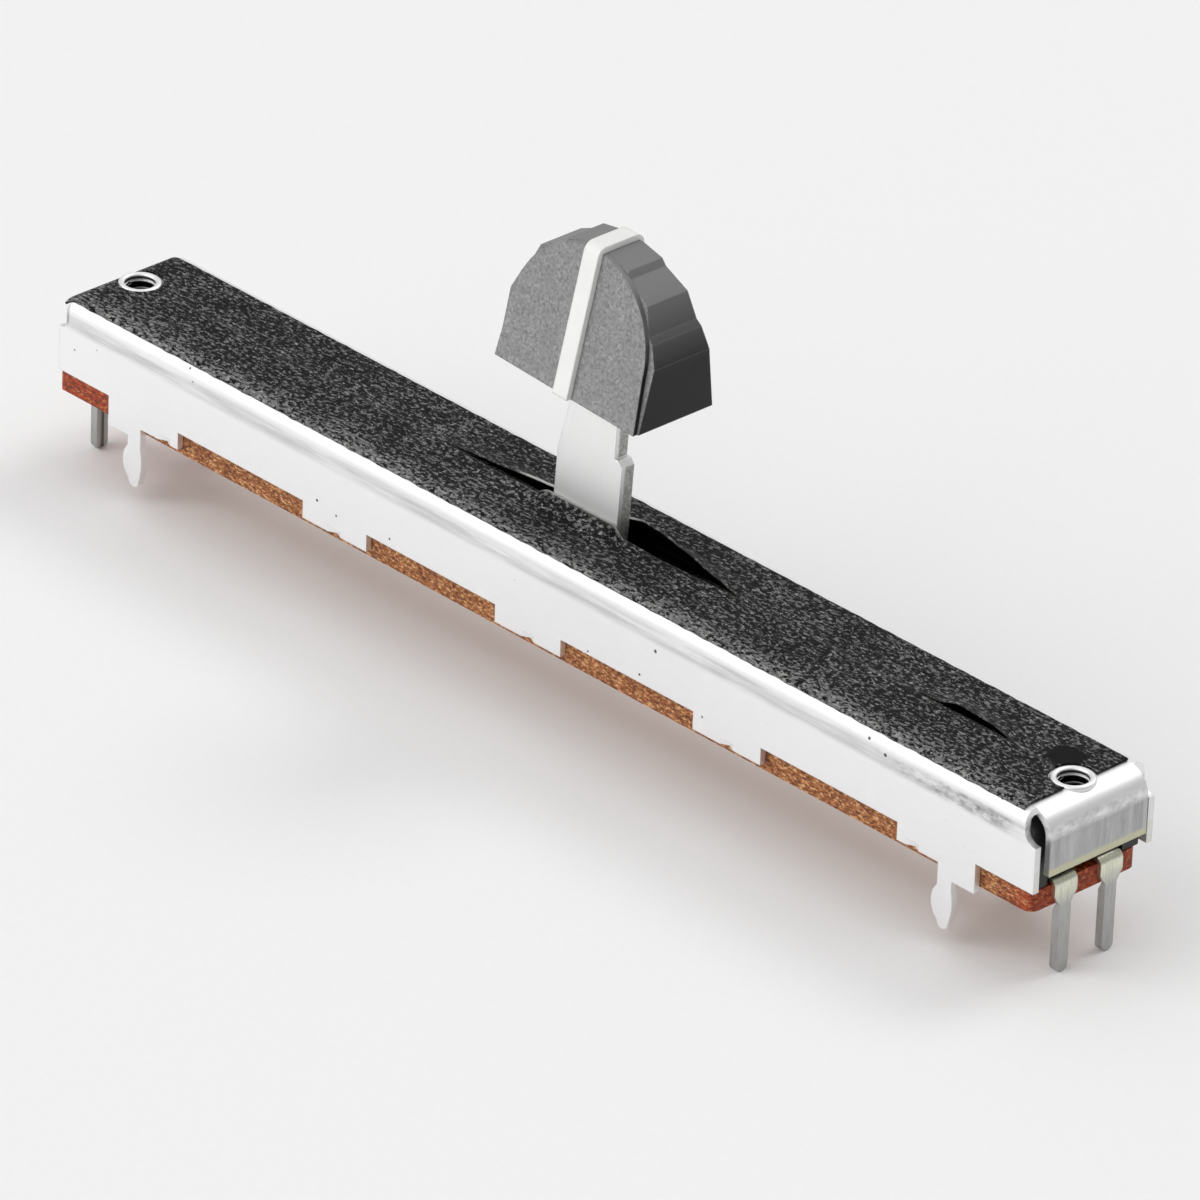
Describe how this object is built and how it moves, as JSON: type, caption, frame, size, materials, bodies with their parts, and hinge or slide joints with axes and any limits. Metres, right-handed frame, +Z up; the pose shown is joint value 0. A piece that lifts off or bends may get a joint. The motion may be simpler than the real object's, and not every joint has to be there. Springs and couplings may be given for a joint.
{
  "type": "slide potentiometer",
  "caption": "Straight slide potentiometer: folded metal body on a board, solder pins and lugs, flat lever with push-on pointer knob.",
  "frame": {"origin": "under the middle of the body, level with the tips of the pins", "axes": "+X along the travel, towards the end with two terminals; +Z up, the way the lever points"},
  "size_m": [0.075, 0.0086, 0.0272],
  "materials": {
    "plated_steel": "bright plated, fine lengthwise grain",
    "phenolic": "laminated paper board, mottled edge",
    "carbon_print": "matt carbon ink",
    "silver_print": "silver ink",
    "terminal_plating": "tin plated",
    "rivet_brass": "plated brass",
    "lip_film": "matt flexible film",
    "black_plastic": "moulded",
    "carrier_plastic": "moulded, low friction",
    "brush_bronze": "spring sheet",
    "spring_steel": "spring sheet",
    "lever_steel": "plated, blanked edges",
    "knob_plastic": "fine spark texture on the flat faces",
    "pointer_plastic": "smooth white"
  },
  "bodies": {
    "body": {"cover": "plated_steel", "board": "phenolic", "resistive_track": "carbon_print", "collector_track": "silver_print", "contact_print_left": "silver_print", "contact_print_right": "silver_print", "terminal_left": "terminal_plating", "rivet_left": "rivet_brass", "terminal_right_front": "terminal_plating", "rivet_right_front": "rivet_brass", "terminal_right_rear": "terminal_plating", "rivet_right_rear": "rivet_brass", "dust_lip_front": "lip_film", "dust_lip_rear": "lip_film", "end_stop_left": "black_plastic", "end_stop_right": "black_plastic"},
    "slider": {"slider_carrier": "carrier_plastic", "wiper_brush": "brush_bronze", "drag_spring": "spring_steel", "lever": "lever_steel", "knob": "knob_plastic", "knob_pointer": "pointer_plastic"}
  },
  "joints": [
    {"name": "slider_travel", "type": "slide", "parent": "body", "child": "slider", "axis": [1, 0, 0], "range_m": [-0.03, 0.03]}
  ]
}
